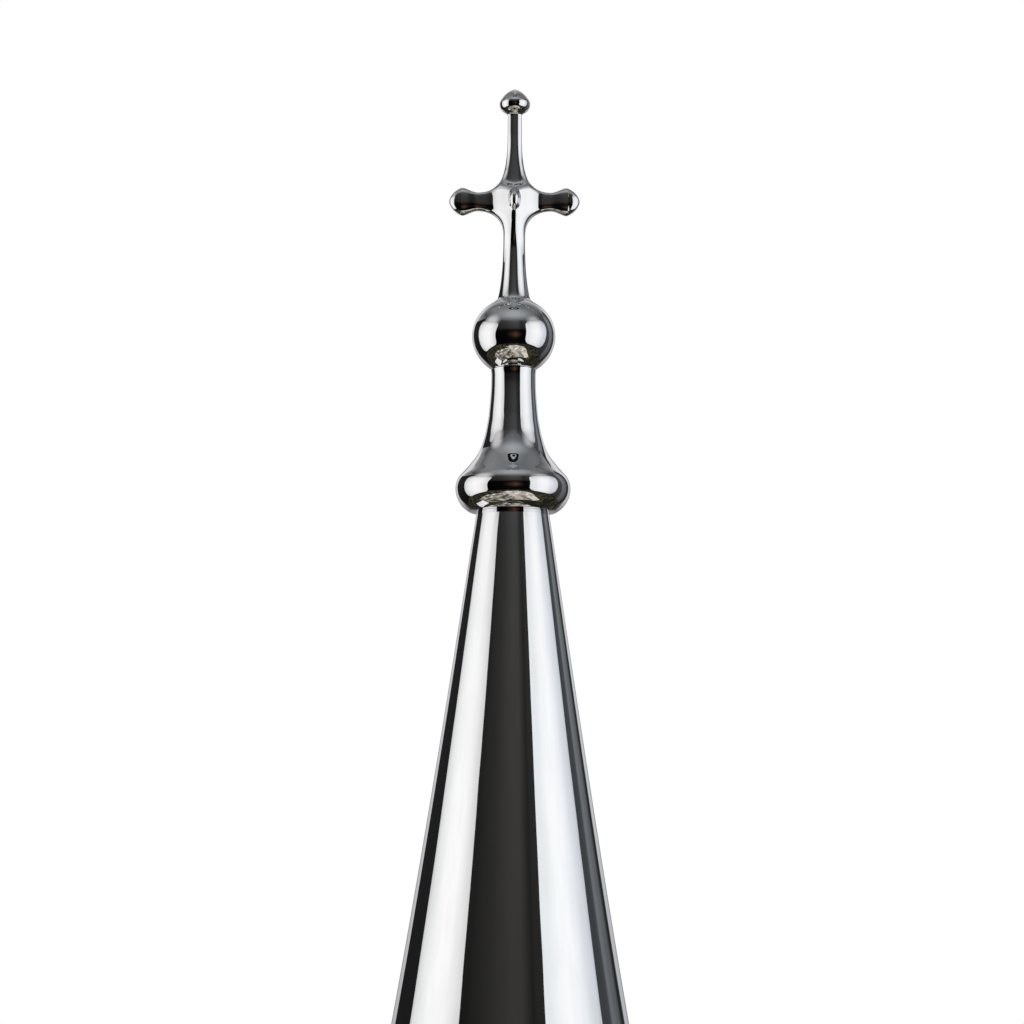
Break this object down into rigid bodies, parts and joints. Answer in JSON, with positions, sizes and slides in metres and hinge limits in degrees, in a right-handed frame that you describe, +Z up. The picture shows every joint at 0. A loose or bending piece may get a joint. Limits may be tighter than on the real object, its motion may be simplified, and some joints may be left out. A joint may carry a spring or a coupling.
{
  "type": "spire finial",
  "caption": "Tall polished spire finial: a hollow flared cone with a rolled foot, a trumpet neck with a fat ring, and a ball that flares up into a slim budded cross.",
  "frame": {"origin": "centre of the foot, on the plane of the flat rim that the finial stands on", "axes": "+Z up along the spire's axis, the cross's side arms along X, the front towards -Y"},
  "size_m": [0.1154, 0.1154, 0.4177],
  "materials": {
    "spun_chrome": "mirror-polished chrome plate over a spun cone, with faint lengthwise polishing waves",
    "turned_chrome": "mirror-polished chrome plate over a turned neck and ring",
    "cast_chrome": "mirror-polished chrome plate over a hand-finished casting"
  },
  "bodies": {
    "root": {"spire_cone": "spun_chrome", "neck_ring": "turned_chrome", "cross_and_ball": "cast_chrome"}
  },
  "joints": []
}
